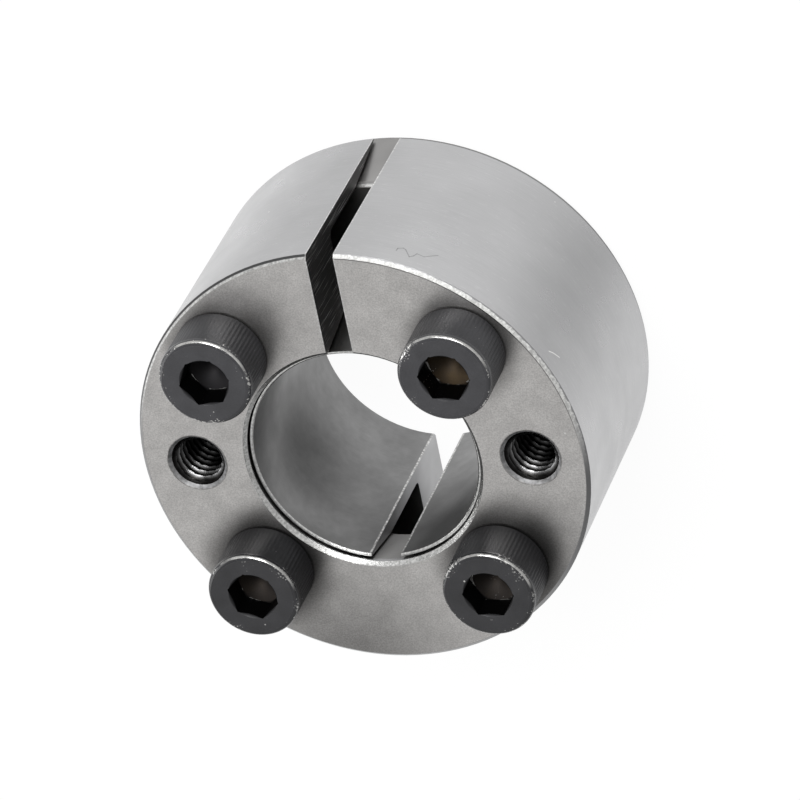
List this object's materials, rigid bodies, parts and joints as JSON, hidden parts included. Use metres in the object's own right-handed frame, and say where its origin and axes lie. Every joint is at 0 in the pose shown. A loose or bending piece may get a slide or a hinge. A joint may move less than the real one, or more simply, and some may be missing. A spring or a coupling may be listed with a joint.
{
  "type": "keyless locking assembly",
  "caption": "Round shaft-to-hub clamp: two slit steel rings with matching tapers, drawn together by socket head cap screws in the front face.",
  "frame": {"origin": "centre of the back end on the common axis of bore and outside, on the surface that the part stands on", "axes": "+Z along the axis from the back end to the front face and the screw heads; +Y to the slit of the outer ring; +X to the jacking hole that the picture shows on the right"},
  "size_m": [0.05, 0.05, 0.0326],
  "materials": {
    "outer_ring_steel": "turned and ground steel, bare, satin",
    "inner_ring_steel": "turned and ground steel, bare, satin",
    "screw_steel": "black oxide on high-tensile steel, slightly oily"
  },
  "bodies": {
    "outer_ring": {"outer_ring": "outer_ring_steel"},
    "inner_ring": {"inner_ring": "inner_ring_steel"},
    "clamp_screw_1": {"clamp_screw_1": "screw_steel"},
    "clamp_screw_2": {"clamp_screw_2": "screw_steel"},
    "clamp_screw_3": {"clamp_screw_3": "screw_steel"},
    "clamp_screw_4": {"clamp_screw_4": "screw_steel"}
  },
  "joints": [
    {"name": "clamp_screw_1_turn", "type": "hinge", "parent": "outer_ring", "child": "clamp_screw_1", "pos_m": [0.01329, 0.01329, 0.0266], "axis": [0, 0, -1], "range_deg": [0, 360]},
    {"name": "clamp_screw_2_turn", "type": "hinge", "parent": "outer_ring", "child": "clamp_screw_2", "pos_m": [-0.01329, 0.01329, 0.0266], "axis": [0, 0, -1], "range_deg": [0, 360]},
    {"name": "clamp_screw_3_turn", "type": "hinge", "parent": "outer_ring", "child": "clamp_screw_3", "pos_m": [-0.01329, -0.01329, 0.0266], "axis": [0, 0, -1], "range_deg": [0, 360]},
    {"name": "clamp_screw_4_turn", "type": "hinge", "parent": "outer_ring", "child": "clamp_screw_4", "pos_m": [0.01329, -0.01329, 0.0266], "axis": [0, 0, -1], "range_deg": [0, 360]},
    {"name": "inner_ring_draw", "type": "slide", "parent": "outer_ring", "child": "inner_ring", "axis": [0, 0, 1], "range_m": [0, 0.001]}
  ],
  "couplings": [
    {"joint": "clamp_screw_1_turn", "follows": "inner_ring_draw", "rad_per_m": 6283.2},
    {"joint": "clamp_screw_2_turn", "follows": "inner_ring_draw", "rad_per_m": 6283.2},
    {"joint": "clamp_screw_3_turn", "follows": "inner_ring_draw", "rad_per_m": 6283.2},
    {"joint": "clamp_screw_4_turn", "follows": "inner_ring_draw", "rad_per_m": 6283.2}
  ]
}
